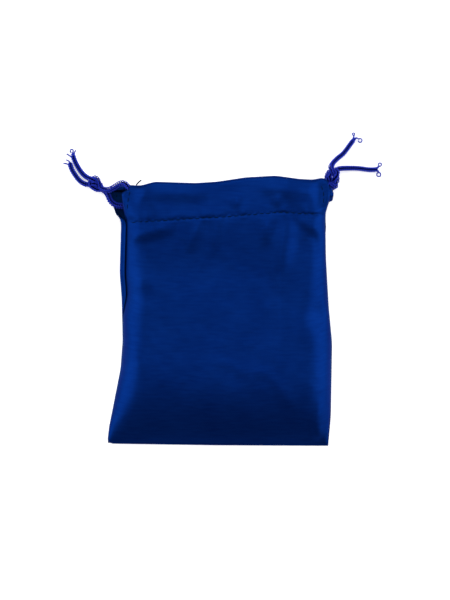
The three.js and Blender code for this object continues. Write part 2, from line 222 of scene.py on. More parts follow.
def satin_material(name, dark, light, roughness):
    """Woven satin: cloudy, finely streaked across, with a low relief of picks and slubs."""
    material, nodes, links, shader = new_material(name)
    coords = nodes.new("ShaderNodeUVMap")
    coords.uv_map = "cloth"
    place = coords.outputs["UV"]
    cloudy = texture(nodes, links, "Noise", place, Scale=CLOUDS, Detail=3.0)
    picks = texture(
        nodes, links, "Wave", place,
        Scale=PICKS, Distortion=2.5, Detail=2.0, Detail_Scale=0.6,
    )
    picks.wave_type = "BANDS"
    picks.bands_direction = "Y"
    streaks = nodes.new("ShaderNodeMapping")
    fill(streaks, Scale=SLUBS)
    links.new(place, streaks.inputs["Vector"])
    slubs = texture(nodes, links, "Noise", streaks.outputs["Vector"], Scale=1.0, Detail=4.0)
    slub_share = maths(nodes, links, "MULTIPLY", slubs.outputs["Fac"], 1.0 - CLOUD_SHARE)
    blend = maths(nodes, links, "MULTIPLY_ADD", cloudy.outputs["Fac"], CLOUD_SHARE, slub_share)
    ramp = nodes.new("ShaderNodeValToRGB")
    for element, position, color in zip(ramp.color_ramp.elements, (0.36, 0.64), (dark, light)):
        element.position = position
        element.color = (*color, 1.0)
    links.new(blend, ramp.inputs["Fac"])
    links.new(lint_specks(nodes, links, place, ramp.outputs["Color"]), shader.inputs["Base Color"])
    fill(
        shader, Roughness=roughness, Metallic=0.8, Specular_IOR_Level=0.05,
        Specular_Tint=(0.03, 0.45, 0.66, 1.0), Sheen_Weight=0.02, Sheen_Roughness=0.5,
        Sheen_Tint=(0.05, 0.35, 0.9, 1.0),
    )
    bump = nodes.new("ShaderNodeBump")
    fill(bump, Strength=0.10, Distance=WEAVE_DEPTH)
    height = maths(nodes, links, "ADD", picks.outputs["Fac"], slubs.outputs["Fac"])
    links.new(height, bump.inputs["Height"])
    links.new(bump.outputs["Normal"], shader.inputs["Normal"])
    return material


def yarn_material(name, color, roughness, sheen):
    """Plain dyed yarn. Dull thread has no sheen and hardly a highlight."""
    material, nodes, links, shader = new_material(name)
    fill(
        shader, Base_Color=(*color, 1.0), Roughness=roughness,
        Specular_IOR_Level=0.12 if sheen else 0.03, Specular_Tint=(0.3, 0.4, 1.0, 1.0),
        Sheen_Weight=sheen, Sheen_Roughness=0.4, Sheen_Tint=(0.3, 0.35, 1.0, 1.0),
    )
    return material


SATIN = satin_material("satin", (0.0006, 0.0125, 0.108), (0.0012, 0.0185, 0.142), 0.42)
SATIN_INSIDE = satin_material("satin_inside", (0.0004, 0.0090, 0.050), (0.0008, 0.0140, 0.070), 0.60)
CORD_YARN = yarn_material("cord_yarn", (0.0145, 0.0300, 0.400), 0.45, 0.02)
# The cord's core is real, but it is coloured near black: painted shade in the gaps between the
# stitches.
CORD_SHADE_CORE = yarn_material("cord_painted_shade_core", (0.0004, 0.0008, 0.012), 0.80, 0.0)
YARN_END = yarn_material("yarn_end", (0.0145, 0.0290, 0.340), 0.40, 0.03)
THREAD = yarn_material("thread", (0.0006, 0.0070, 0.019), 0.70, 0.0)


# ---- drawcords
CORD_RADIUS = 1.0
CORD_STEP = 0.15
SMOOTHING_ROUNDS = 30
PULLING_ROUNDS = 900
SLACK_KNOT_SIZE = 1.9
KNOT_POINTS = 84
STIFFNESS = 0.35
FRONT_ROW_Z = 9.7
BACK_ROW_Z = 1.7
TAIL_Z = 1.05

# From the knot round the loop and back to the knot, in mm
RIGHT_LOOP = [
    (41.7, 48.4, 4.7), (41.2, 46.8, 5.4), (40.5, 45.1, 6.6), (39.5, 43.7, 8.4),
    (38.2, 42.9, 9.6), (36.4, 42.6, FRONT_ROW_Z), (34.0, 42.6, FRONT_ROW_Z),
    (-31.0, 42.6, FRONT_ROW_Z), (-32.8, 42.7, 9.6), (-34.6, 42.8, 8.8), (-35.6, 43.0, 7.5),
    (-35.9, 43.3, 5.7), (-35.6, 43.6, 3.9), (-34.6, 43.8, 2.6), (-32.8, 43.95, 1.8),
    (-31.0, 44.0, BACK_ROW_Z), (34.0, 44.0, BACK_ROW_Z), (37.0, 44.0, 1.65),
    (39.5, 44.2, 1.5), (40.6, 44.9, 1.5), (41.4, 46.2, 1.6), (42.1, 47.8, 2.0),
]
LEFT_LOOP = [
    (-46.0, 47.1, 3.4), (-44.2, 46.1, 4.0), (-42.2, 45.9, 4.8), (-40.2, 46.8, 6.2),
    (-38.4, 47.9, 7.6), (-36.9, 48.5, 8.6), (-35.6, 48.2, 9.2), (-34.8, 47.1, 9.6),
    (-33.8, 46.2, FRONT_ROW_Z), (-32.2, 45.75, FRONT_ROW_Z), (-30.0, 45.7, FRONT_ROW_Z),
    (34.6, 45.7, FRONT_ROW_Z), (36.4, 45.6, 9.6), (38.1, 45.2, 8.8), (39.1, 44.4, 7.4),
    (39.5, 43.0, 5.7), (39.1, 41.6, 4.0), (38.1, 40.7, 2.6), (36.4, 40.1, 1.8),
    (34.6, 40.0, BACK_ROW_Z), (-35.0, 40.0, BACK_ROW_Z), (-38.0, 40.0, 1.6),
    (-39.8, 40.4, 1.45), (-41.1, 41.3, 1.4), (-42.0, 42.7, 1.35), (-42.5, 44.2, 1.4),
    (-43.5, 45.5, 1.5), (-45.4, 46.7, 1.7),
]
RIGHT_UPPER_TAIL = [
    (42.2, 54.9, 3.0), (43.3, 56.6, 2.1), (45.1, 58.4, 1.2), (47.0, 59.9, TAIL_Z),
    (48.4, 61.7, TAIL_Z), (49.8, 63.6, TAIL_Z), (51.2, 65.5, TAIL_Z),
]
RIGHT_LOWER_TAIL = [
    (44.4, 53.9, 2.9), (46.6, 54.3, 2.0), (49.3, 54.4, 1.2), (52.1, 54.4, TAIL_Z),
    (54.7, 54.1, TAIL_Z), (57.1, 53.8, TAIL_Z), (60.1, 53.9, TAIL_Z),
]
LEFT_UPPER_TAIL = [
    (-49.5, 50.3, 2.4), (-50.9, 51.1, 1.7), (-52.5, 52.6, 1.1), (-54.0, 54.8, TAIL_Z),
    (-55.0, 56.7, TAIL_Z), (-55.7, 58.5, TAIL_Z), (-55.9, 59.8, TAIL_Z),
]
LEFT_LOWER_TAIL = [
    (-50.1, 48.0, 2.2), (-51.5, 48.4, 1.7), (-53.1, 49.4, 1.1), (-54.4, 50.9, TAIL_Z),
    (-55.5, 52.5, TAIL_Z), (-56.5, 54.3, TAIL_Z), (-56.9, 55.7, TAIL_Z), (-56.9, 56.6, TAIL_Z),
]
# thickness: how near strands come in the pulled knot; squeeze: how much thinner they get
RIGHT_KNOT = {
    "centre": (41.8, 51.5, 3.5), "axis": (-0.3, 0.95, 0.0), "thickness": 1.34, "squeeze": 1.0,
}
LEFT_KNOT = {
    "centre": (-47.8, 48.3, 2.8), "axis": (-1.0, 1.2, 0.0), "thickness": 1.20, "squeeze": 0.94,
}
CASING_DROP = 2.2


def casing_sag(x):
    """How far the front casing drops towards its two open ends."""
    return CASING_DROP * ease(25.0, 38.0, np.abs(x))


def with_sag(loop):
    """The loop with its front row lowered as much as the casing over it."""
    loop = np.array(loop, float)
    share = (loop[:, 2] - BACK_ROW_Z) / (FRONT_ROW_Z - BACK_ROW_Z)
    loop[:, 2] -= casing_sag(loop[:, 0]) * np.clip(share, 0.0, 1.0)
    return loop


def evenly(points, step):
    """The same line as points every step mm."""
    points = np.asarray(points, float)
    run = run_of(points)
    count = max(2, int(round(run[-1] / step)) + 1)
    at = np.linspace(0.0, run[-1], count)
    return points_at(at, run, points)


def smooth_curve(points, step=0.25):
    """A centripetal Catmull-Rom curve through the points."""
    p = np.asarray(points, float)
    p = np.vstack([2 * p[0] - p[1], p, 2 * p[-1] - p[-2]])
    pieces = []
    for i in range(1, len(p) - 2):
        p0, p1, p2, p3 = p[i - 1 : i + 3]
        t1 = max(np.linalg.norm(p1 - p0), 1e-6) ** 0.5
        t2 = t1 + max(np.linalg.norm(p2 - p1), 1e-6) ** 0.5
        t3 = t2 + max(np.linalg.norm(p3 - p2), 1e-6) ** 0.5
        t = np.linspace(t1, t2, max(3, int(np.linalg.norm(p2 - p1) / step)), endpoint=False)[:, None]
        a1 = (t1 - t) / t1 * p0 + t / t1 * p1
        a2 = (t2 - t) / (t2 - t1) * p1 + (t - t1) / (t2 - t1) * p2
        a3 = (t3 - t) / (t3 - t2) * p2 + (t - t2) / (t3 - t2) * p3
        b1 = (t2 - t) / t2 * a1 + t / t2 * a2
        b2 = (t3 - t) / (t3 - t1) * a2 + (t - t1) / (t3 - t1) * a3
        pieces.append((t2 - t) / (t2 - t1) * b1 + (t - t1) / (t2 - t1) * b2)
    pieces.append(p[-2][None])
    return evenly(np.vstack(pieces), step)


def loose_overhand(side):
    """One of the two parallel cords of a slack overhand knot, along the local X axis."""
    t = np.linspace(-2.12, 2.12, KNOT_POINTS)
    line = np.stack([t**3 - 3 * t, t**4 - 4 * t**2 + 1.6, 0.16 * (t**5 - 10 * t)], axis=1)
    line *= SLACK_KNOT_SIZE
    heading = unit(np.gradient(line, axis=0))
    across = unit(np.cross(heading, [0.0, 0.0, 1.0]))
    return line + side * CORD_RADIUS * across


def tie_knot(starts, ends, knot):
    """Two cords tied together in one overhand knot and pulled tight: each line shortens under
    tension, and wherever two stretches come nearer than the cord's squeezed thickness they
    push each other apart."""
    thickness = knot["thickness"]
    x = unit(np.array(knot["axis"], float))
    y = unit(np.cross([0.0, 0.0, 1.0], x))
    turn = np.stack([x, y, np.cross(x, y)])
    lines = []
    for k, side in enumerate((1, -1)):
        slack = loose_overhand(side) @ turn + np.array(knot["centre"])
        lead_in = np.linspace(starts[k], slack[0], 14)[:-1]
        lead_out = np.linspace(slack[-1], ends[k], 14)[1:]
        lines.append(np.vstack([lead_in, slack, lead_out]))
    count = len(lines[0])
    p = np.vstack(lines)
    which = np.repeat([0, 1], count)
    order = np.tile(np.arange(count), 2)
    same = which[:, None] == which[None, :]
    apart = np.abs(order[:, None] - order[None, :])
    for _ in range(PULLING_ROUNDS):
        for part in (slice(0, count), slice(count, None)):
            q = p[part]
            q[1:-1] += STIFFNESS * (0.5 * (q[:-2] + q[2:]) - q[1:-1])
            run = run_of(q)
            at = np.linspace(0.0, run[-1], count)
            p[part] = points_at(at, run, q)
        spacing = run[-1] / (count - 1)
        tested = np.triu(~(same & (apart < math.ceil(1.35 * thickness / spacing))), 1)
        for _ in range(3):
            offset = p[:, None] - p[None, :]
            distance = np.linalg.norm(offset, axis=2) + 1e-9
            i, j = np.where(tested & (distance < thickness))
            if len(i) == 0:
                break
            near = distance[i, j][:, None]
            push = 0.5 * (thickness - near) * offset[i, j] / near
            moved = np.zeros_like(p)
            hits = np.zeros(len(p))
            np.add.at(moved, i, push)
            np.add.at(moved, j, -push)
            np.add.at(hits, i, 1)
            np.add.at(hits, j, 1)
            p += moved / np.maximum(1, hits)[:, None]
        p[:, 2] = np.maximum(p[:, 2], CORD_RADIUS)
        for k in (0, 1):
            p[k * count] = starts[k]
            p[(k + 1) * count - 1] = ends[k]
    return p[:count], p[count:]


def whole_cord(loop, tail_a, tail_b, knot):
    """The cord's whole line: tail, knot, loop, knot, tail, and where along it the knot lies."""
    loop = smooth_curve(with_sag(loop))
    a = smooth_curve(tail_a)
    b = smooth_curve(tail_b)
    first, second = tie_knot((loop[0], loop[-1]), (a[0], b[0]), knot)
    parts = [a[::-1], first[::-1][1:], loop[1:], second[1:], b[1:]]
    tight = [0.0, 1.0, 0.0, 1.0, 0.0]
    line = np.vstack(parts)
    inside = np.concatenate([np.full(len(part), flag) for part, flag in zip(parts, tight)])
    run = run_of(line)
    even = evenly(line, CORD_STEP)
    for _ in range(SMOOTHING_ROUNDS):
        even[1:-1] += 0.5 * (0.5 * (even[:-2] + even[2:]) - even[1:-1])
    at = np.linspace(0.0, run[-1], len(even))
    return even, np.interp(at, run, inside)


def carried_frames(line):
    """Two directions square to the line at each point, carried along it without twisting."""
    heading = unit(np.gradient(line, axis=0))
    side = np.empty_like(line)
    side[0] = unit(np.cross(heading[0], [0.0, 0.0, 1.0]))
    for i in range(1, len(line)):
        carried = side[i - 1] - heading[i] * np.dot(side[i - 1], heading[i])
        side[i] = carried / np.linalg.norm(carried)
    return heading, side, np.cross(heading, side)


KNIT_COLUMNS = 4
KNIT_PITCH = 0.87
STITCH_POINTS = 10
COLUMN_RADIUS = 0.80
COIL_RADIUS = 0.26
YARN_HALF_WIDTH = 0.25
YARN_HALF_HEIGHT = 0.18
SHADE_CORE_RADIUS = 0.56
PACKED_COIL = 0.66
PACKED_COLUMN = 1.02
PACKED_YARN = 1.12
SECTION_SIDES = 6


def swept(rings, base):
    """Faces of a closed tube of rings, ends included, numbered from base."""
    count = len(rings)
    quads = ring_quads(count, SECTION_SIDES)
    start = np.arange(SECTION_SIDES)[::-1]
    end = (count - 1) * SECTION_SIDES + np.arange(SECTION_SIDES)
    halves = ((0, 1, 2, 3), (0, 3, 4, 5))
    caps = [[cap[k] for k in half] for half in halves for cap in (start, end)]
    return np.vstack([quads, np.array(caps)]) + base


def level_turn(heading, side, top):
    """How far the carried directions have turned from level by the end of the line."""
    level = np.cross(heading[-1], [0.0, 0.0, 1.0])
    return math.atan2(float(np.dot(top[-1], level)), float(np.dot(side[-1], level)))


def knitted_cord(name, line, tight, squeeze):
    """A knitted round cord: four columns of slanted stitches, neighbours leaning opposite ways.
    The stitches are packed flatter where tight is 1, inside the knot."""
    heading, side, top = carried_frames(line)
    run = np.arange(len(line)) * CORD_STEP
    fade = ease(0.0, 1.2, np.minimum(run, run[-1] - run))
    scale = mix(1.0, squeeze, ease(0.2, 0.8, tight)) * mix(0.72, 1.0, fade)
    at = np.arange(0.0, run[-1], KNIT_PITCH / STITCH_POINTS)
    middle, across, above = (points_at(at, run, values) for values in (line, side, top))
    wide = np.interp(at, run, scale)
    packed = np.interp(at, run, ease(0.0, 1.0, tight))
    coil = COIL_RADIUS * mix(1.0, PACKED_COIL, packed)
    column_radius = COLUMN_RADIUS * mix(1.0, PACKED_COLUMN, packed)
    half_width = YARN_HALF_WIDTH * mix(1.0, PACKED_YARN, packed)
    section = np.linspace(0.0, math.tau, SECTION_SIDES, endpoint=False)
    turn = math.tau * at / KNIT_PITCH
    settle = level_turn(heading, side, top) * at / run[-1] + math.pi / KNIT_COLUMNS
    tubes = []
    for k in range(KNIT_COLUMNS):
        lean = 1 if k % 2 == 0 else -1
        column = settle + math.tau * k / KNIT_COLUMNS
        outward = np.cos(column)[:, None] * across + np.sin(column)[:, None] * above
        sideways = np.cos(column)[:, None] * above - np.sin(column)[:, None] * across
        spoke = np.sin(turn)[:, None] * outward - (lean * np.cos(turn))[:, None] * sideways
        centre = middle + (column_radius[:, None] * outward + coil[:, None] * spoke) * wide[:, None]
        flat = unit(np.cross(unit(np.gradient(centre, axis=0)), spoke))
        tubes.append(
            centre[:, None]
            + flat[:, None] * (np.cos(section)[None, :, None] * (half_width * wide)[:, None, None])
            + spoke[:, None] * (np.sin(section)[None, :, None] * YARN_HALF_HEIGHT * wide[:, None, None])
        )
    # The core tube inside the stitches, in the near-black painted-shade material that darkens the gaps.
    tubes.append(ring_points(line, side, top, SHADE_CORE_RADIUS * scale, SECTION_SIDES))
    verts, faces, slots, count = [], [], [], 0
    for number, rings in enumerate(tubes):
        faces.append(swept(rings, count))
        verts.append(rings.reshape(-1, 3))
        slots.append(np.full(len(faces[-1]), number == KNIT_COLUMNS, np.int32))
        count += len(verts[-1])
    made = mesh_object(name, np.vstack(verts), np.vstack(faces), CORD_YARN)
    made.data.materials.append(CORD_SHADE_CORE)
    made.data.polygons.foreach_set("material_index", np.concatenate(slots))
    made.data.update()
    return made


TUBE_SIDES = 8


def tube(name, line, radius, material):
    """A closed round tube with blunt tips along points in mm. radius is one number or one per
    point."""
    line = np.asarray(line, float)
    heading, side, top = carried_frames(line)
    radius = np.broadcast_to(np.asarray(radius, float), (len(line),))
    low_tip = line[0] - heading[0] * radius[0] * 0.6
    high_tip = line[-1] + heading[-1] * radius[-1] * 0.6
    line = np.vstack([low_tip, line, high_tip])
    side = np.vstack([side[0], side, side[-1]])
    top = np.vstack([top[0], top, top[-1]])
    radius = np.concatenate([[radius[0] * 0.55], radius, [radius[-1] * 0.55]])
    rings = ring_points(line, side, top, radius, TUBE_SIDES)
    return mesh_object(name, rings.reshape(-1, 3), closed_tube(len(line), TUBE_SIDES), material)


def make_cord(side_name, loop, tail_a, tail_b, knot):
    """One drawcord, its line in mm and its length in metres."""
    body = side_name + "_drawcord"
    line, tight = whole_cord(loop, tail_a, tail_b, knot)
    made = knitted_cord(side_name + "_drawcord_braid", line, tight, knot["squeeze"])
    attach(made, body)
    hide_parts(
        side_name + "_cord_loop", side_name + "_cord_knot",
        side_name + "_cord_upper_tail", side_name + "_cord_lower_tail",
    )
    return made, line, float(run_of(line)[-1] * MM)


right_cord, right_line, right_length = make_cord(
    "right", RIGHT_LOOP, RIGHT_UPPER_TAIL, RIGHT_LOWER_TAIL, RIGHT_KNOT)
left_cord, left_line, left_length = make_cord(
    "left", LEFT_LOOP, LEFT_UPPER_TAIL, LEFT_LOWER_TAIL, LEFT_KNOT)


def arc(centre, radius, start, end, count=14):
    """Points of a level arc between two angles in degrees."""
    x, y, z = centre
    angle = np.radians(np.linspace(start, end, count))
    return [(x + radius * math.cos(a), y + radius * math.sin(a), z) for a in angle]


# ---- satin bag
CLOTH = 0.3
FLOOR_Z = 0.16
TUNNEL = 3.0
CASING_TOP = 11.2
BODY_TOP = 9.6
SEAM_TOP = 1.8
NOSE_RADIUS = 0.75
NOSE_Z = FLOOR_Z + NOSE_RADIUS
MOUTH_FOLD = TUNNEL / 2

# Outline of the bag in mm: [along, value] pairs
BOTTOM_EDGE = soft_line([(-42.9, -49.2), (-41.3, -50.4), (-1.3, -51.0), (41.1, -51.2)], 1.5)
MOUTH_EDGE = soft_line(
    [(-42.0, 47.0), (-39.0, 47.8), (-36.3, 48.0), (-33.3, 47.6), (-29.7, 47.4), (-24.5, 48.8),
     (-9.3, 48.3), (-1.3, 48.8), (9.9, 50.5), (21.1, 51.1), (29.9, 49.9), (35.1, 49.7),
     (39.2, 50.5), (43.4, 47.2)], 1.8)
LEFT_SIDE = soft_line(
    [(-51.0, -41.6), (-49.4, -42.8), (-43.2, -42.1), (-35.2, -40.5), (-21.6, -37.8), (-11.2, -37.0),
     (4.8, -37.3), (14.4, -38.0), (32.0, -37.4), (34.5, -37.5), (36.0, -38.1), (38.0, -39.1),
     (39.5, -40.1), (42.0, -41.0), (46.0, -41.2)], 2.0)
RIGHT_SIDE = soft_line(
    [(-51.2, 41.2), (-39.2, 42.3), (-10.4, 42.8), (2.4, 41.5), (20.8, 40.3), (36.0, 40.0),
     (44.0, 40.0), (49.0, 38.4)], 4.0)
FRONT_SLIT_LEFT = soft_line([(36.0, -35.8), (38.0, -36.2), (44.4, -36.9), (45.9, -33.7)], 0.6)
FRONT_SLIT_RIGHT = soft_line([(36.0, 39.7), (42.4, 41.3), (46.0, 41.6), (49.0, 40.9)], 1.2)
HEM_LINE = soft_line(
    [(-36.0, 33.3), (-22.0, 34.0), (-10.5, 34.8), (1.0, 35.4), (7.7, 36.0), (15.0, 36.6), (22.5, 37.3),
     (28.0, 36.9), (40.0, 36.4)], 5.0)
BACK_HEM_Y = 34.8

# Folds in the front panel: from, to, half width and height, in mm
FOLDS = [
    ((-7.0, 35.6), (-12.0, 22.0), 2.0, 0.36), ((-1.0, 35.8), (-2.2, 22.0), 2.0, 0.32),
    ((6.9, 43.0), (5.8, 39.4), 1.8, 0.38), ((18.4, 36.6), (16.8, 24.0), 2.2, 0.55),
    ((21.9, 43.4), (21.6, 40.0), 1.8, 0.38), ((26.6, 36.0), (21.6, 10.0), 4.0, 1.15),
    ((28.4, 36.8), (38.0, 29.0), 2.2, 0.70), ((23.0, 16.0), (22.6, -26.0), 2.8, 0.34),
    ((-3.0, -18.0), (10.4, -23.0), 2.2, 0.12), ((8.0, -22.6), (21.0, -24.2), 2.2, 0.14),
    ((18.6, -22.4), (28.0, -38.0), 2.8, 0.36),
    ((-37.0, 27.2), (-17.0, 32.2), 2.6, 0.75), ((-30.0, 44.6), (-3.0, 44.4), 3.0, 0.50),
    ((-31.0, 39.6), (-27.0, 47.4), 2.0, 0.35), ((12.0, 45.8), (26.0, 46.4), 2.4, 0.30),
    ((-35.0, 8.4), (-26.0, 12.0), 3.0, 0.35), ((-34.5, -15.0), (-27.0, -25.0), 3.0, 0.30),
]
STITCH_PITCH = 2.4
# Where along Y the sides pass over into the slits
SLIT_BLEND = (34.5, 37.5)
# The front's edges lie inside the bag's outline, the left one under a strip of the back
LEFT_INSET = 0.35
RIGHT_INSET = 0.30
LEFT_STRIP = 1.9
LEFT_STRIP_BLEND = (-4.0, 8.0)
SEAM_RISE = 4.4
# The front rises over this length from the bottom fold, and falls off steeply at its sides
RISE_LENGTH = 36.0
RISE_POWER = 3.6
SHOULDER = 11
SHOULDER_POWER = 0.8
EDGE_CURL = 0.8
EDGE_CURL_DROP = 0.55
WAIST_DENT = 1.1


def value_noise(x, y, size_x, size_y, seed):
    """Smooth random field between -1 and 1 whose lumps are about size_x by size_y mm."""
    table = np.random.default_rng(seed).uniform(-1.0, 1.0, (160, 160))
    u = np.asarray(x) / size_x + 71.3
    v = np.asarray(y) / size_y + 69.7
    i = np.floor(u).astype(int)
    j = np.floor(v).astype(int)
    fu = u - i
    fv = v - j
    fu, fv = (f * f * f * (f * (6.0 * f - 15.0) + 10.0) for f in (fu, fv))
    i, j = i % 159, j % 159
    low = mix(table[j, i], table[j, i + 1], fu)
    high = mix(table[j + 1, i], table[j + 1, i + 1], fu)
    return mix(low, high, fv)


def ridge(x, y, start, end, half_width, height):
    """A long rounded swelling from start to end that fades out at both ends."""
    dx = end[0] - start[0]
    dy = end[1] - start[1]
    length = math.hypot(dx, dy)
    t = ((x - start[0]) * dx + (y - start[1]) * dy) / length
    off = ((x - start[0]) * dy - (y - start[1]) * dx) / length
    fade = min(0.5 * length, 3.0 * half_width)
    taper = ease(-half_width, fade, t) * ease(-half_width, fade, length - t)
    return height * bell(off / half_width) * taper


def front_left(y):
    """X of the front panel's left edge, inside the strip of the back that is turned over it."""
    body = along(LEFT_SIDE, y) + LEFT_INSET + LEFT_STRIP * ease(*LEFT_STRIP_BLEND, y)
    return mix(body, along(FRONT_SLIT_LEFT, y), ease(*SLIT_BLEND, y))


def front_right(y):
    """X of the front panel's right edge."""
    body = along(RIGHT_SIDE, y) - RIGHT_INSET
    return mix(body, along(FRONT_SLIT_RIGHT, y), ease(*SLIT_BLEND, y))


def seam_lift(y):
    """How far the side seams rise off the floor towards the mouth."""
    return SEAM_RISE * ease(-10.0, 37.0, y)


def hem_dip(x, y):
    """The row of stitches pulls the cloth down and puckers it."""
    off = y - along(HEM_LINE, x)
    phase = (x + 33.6) / STITCH_PITCH
    hole = 0.5 + 0.5 * np.cos(math.tau * phase)
    groove = -(0.09 + 0.15 * hole) * bell(off / 0.44)
    pucker = value_noise(x, y, 1.9, 6.0, 11) * 0.17 + value_noise(x, y, 4.2, 9.0, 12) * 0.20
    puckers = pucker * np.exp(-np.abs(off) / 2.6) * (1.0 - bell(off / 0.5))
    puffed = 0.05 * bell((off - 1.9) / 1.2)
    return groove + puckers + puffed


def ripples(x, y):
    """Random unevenness of the cloth, from broad to fine."""
    broad = 0.22 * value_noise(x, y, 17.0, 21.0, 1)
    return broad + 0.10 * value_noise(x, y, 7.0, 9.0, 2) + 0.035 * value_noise(x, y, 2.6, 3.4, 3)


def right_casing_slope(x, y):
    """The casing's right end: it slopes down to the hem and rolls over towards its slit."""
    slope = 0.14 * (y - 40.0) * ease(18.0, 31.0, x + 0.5 * (y - 40.0)) * (1.0 - ease(33.0, 37.5, x))
    slope = slope * ease(29.0, 37.0, y) * (1.0 - ease(44.0, 50.0, y))
    roll = 0.16 * np.maximum(0.0, x - 35.2) * ease(33.0, 37.0, y)
    return slope - roll


def right_wedge(x, y):
    """The flatter patch below the right end of the hem, which a slanting fold cuts off above."""
    wedge = 0.75 * ease(24.0, 34.0, x + 0.25 * (36.0 - y)) * ease(15.0, 27.0, y)
    return wedge * (1.0 - ease(33.0, 43.0, y + 0.8 * np.maximum(0.0, x - 27.5)))


def corner_slope(x, y):
    """The bottom right corner falls away towards the side."""
    past = x - mix(40.0, 33.6, np.clip((-24.0 - y) / 18.0, 0.0, 1.0))
    down = np.maximum(0.0, -27.0 - y)
    return (0.24 * np.maximum(0.0, past) - 0.12 * down) * ease(0.0, 4.5, past) * ease(-20.0, -30.0, y)


def front_folds(x, y):
    """Everything that stands out from the front panel's smooth shape."""
    height = np.zeros(np.broadcast(x, y).shape)
    for start, end, half_width, tall in FOLDS:
        height = height + ridge(x, y, start, end, half_width, tall)
    dent = np.exp(-(((x - 38.5) / 5.0) ** 2) - ((y + 2.2) / 5.0) ** 2)
    height = height + ripples(x, y) - WAIST_DENT * dent + right_casing_slope(x, y)
    return height - right_wedge(x, y) - corner_slope(x, y) + hem_dip(x, y)


def front_height(x, y):
    """Height of the front panel's mid-surface."""
    left = front_left(y)
    right = front_right(y)
    s = np.abs(np.clip((2.0 * x - left - right) / (right - left), -1.0, 1.0))
    up = y - along(BOTTOM_EDGE, x) - NOSE_RADIUS
    rise = 1.0 - (1.0 - np.clip(up / RISE_LENGTH, 0.0, 1.0)) ** RISE_POWER
    nose_top = NOSE_Z + NOSE_RADIUS
    crown = nose_top + (BODY_TOP - nose_top) * rise + (CASING_TOP - BODY_TOP) * ease(12.0, 41.0, y)
    low = np.minimum(SEAM_TOP + seam_lift(y), crown)
    body = low + (crown - low) * (1.0 - s**SHOULDER) ** SHOULDER_POWER
    side = s**6
    level = ease(mix(31.0, 33.5, side), mix(41.0, 45.0, side), y)
    height = mix(body, CASING_TOP - casing_sag(x), level)
    edge = np.clip(np.minimum(x - left, right - x), 0.0, 50.0)
    curl = 1.0 - np.clip(edge / EDGE_CURL, 0.0, 1.0)
    height = height - EDGE_CURL_DROP * (1.0 - np.sqrt(1.0 - curl**2))
    return height + front_folds(x, y) * ease(0.0, 4.0, edge) * ease(0.0, 5.0, up)


def growing_steps(total, first, largest, growth=1.18):
    """Numbers from 0 to 1 whose steps start small and grow, for a length of total mm."""
    at = [0.0]
    step = first
    while at[-1] < total:
        at.append(at[-1] + step)
        step = min(largest, step * growth)
    return np.array(at) / at[-1]


EDGE_STEPS = growing_steps(38.0, 0.10, 0.55)
ROWS_TO_HEM = np.concatenate([
    growing_steps(84.0, 0.35, 0.75)[:-1] * 0.965,
    np.linspace(0.965, 1.0, 10),
])
ROWS_TO_MOUTH = np.concatenate([np.linspace(0.0, 0.3, 12)[1:], np.linspace(0.3, 1.0, 16)[1:]])


def mouth_start(x):
    """Y where the flat cloth ends and the round fold at the mouth begins."""
    return along(MOUTH_EDGE, x) - MOUTH_FOLD - CLOTH / 2


def row_of_x(left, right):
    """X of every column between the left edge, the middle and the right edge."""
    return np.concatenate([left * (1.0 - EDGE_STEPS), (right * (1.0 - EDGE_STEPS))[::-1][1:]])


MIDDLE = len(EDGE_STEPS) - 1


NOSE_STEPS = 7
# Y of the front's left and right edge at the bottom, at the hem and at the mouth
LEFT_EDGE_Y = (-49.4, 33.8, 45.9)
RIGHT_EDGE_Y = (-50.2, 36.4, 48.9)


def with_nose(rows, height):
    """Adds the round fold at the bottom below the first row."""
    first = rows[0]
    for k in range(1, NOSE_STEPS + 1):
        angle = 0.5 * math.pi * k / NOSE_STEPS
        nose = first.copy()
        nose[:, 1] -= NOSE_RADIUS * math.sin(angle)
        nose[:, 2] = height(first[:, 2], NOSE_RADIUS * math.cos(angle))
        rows.insert(0, nose)
    return np.array(rows)


def front_rows():
    """The front panel from the bottom fold to the mouth fold, as rows of points."""
    rows = []
    for step, v in [(0, v) for v in ROWS_TO_HEM] + [(1, v) for v in ROWS_TO_MOUTH]:
        left = front_left(mix(LEFT_EDGE_Y[step], LEFT_EDGE_Y[step + 1], v))
        right = front_right(mix(RIGHT_EDGE_Y[step], RIGHT_EDGE_Y[step + 1], v))
        x = row_of_x(left, right)
        low = along(BOTTOM_EDGE, x) + NOSE_RADIUS
        hem = along(HEM_LINE, x)
        y = mix(low, hem, v) if step == 0 else mix(hem, mouth_start(x), v)
        rows.append(np.stack([x, y, front_height(x, y)], axis=1))
    return with_nose(rows, lambda start, drop: NOSE_Z + drop)


MOUTH_STEPS = 12
PRESSED = CLOTH + 0.12


def tunnel_height(x, inward):
    """Room inside the casing. The back casing is pressed flat beside the left slit."""
    pressed = 1.0 - ease(-37.0, -34.8, x) if inward > 0 else 0.0 * x
    return mix(TUNNEL, PRESSED, pressed)


def with_mouth_fold(rows, up):
    """Adds the round fold at the mouth; up is 1 for the front and -1 for the back."""
    last = rows[-1]
    half = tunnel_height(last[:, 0], -up) / 2
    folds = []
    for k in range(1, MOUTH_STEPS + 1):
        angle = math.pi * k / MOUTH_STEPS
        fold = last.copy()
        fold[:, 1] += MOUTH_FOLD * math.sin(angle)
        fold[:, 2] += up * half * (math.cos(angle) - 1.0)
        folds.append(fold)
    return np.concatenate([rows, np.array(folds)])


FACING_ROWS = 34
HEM_LAP = 0.8
TUNNEL_OPENS = 0.2
TUNNEL_FULL = 4.2


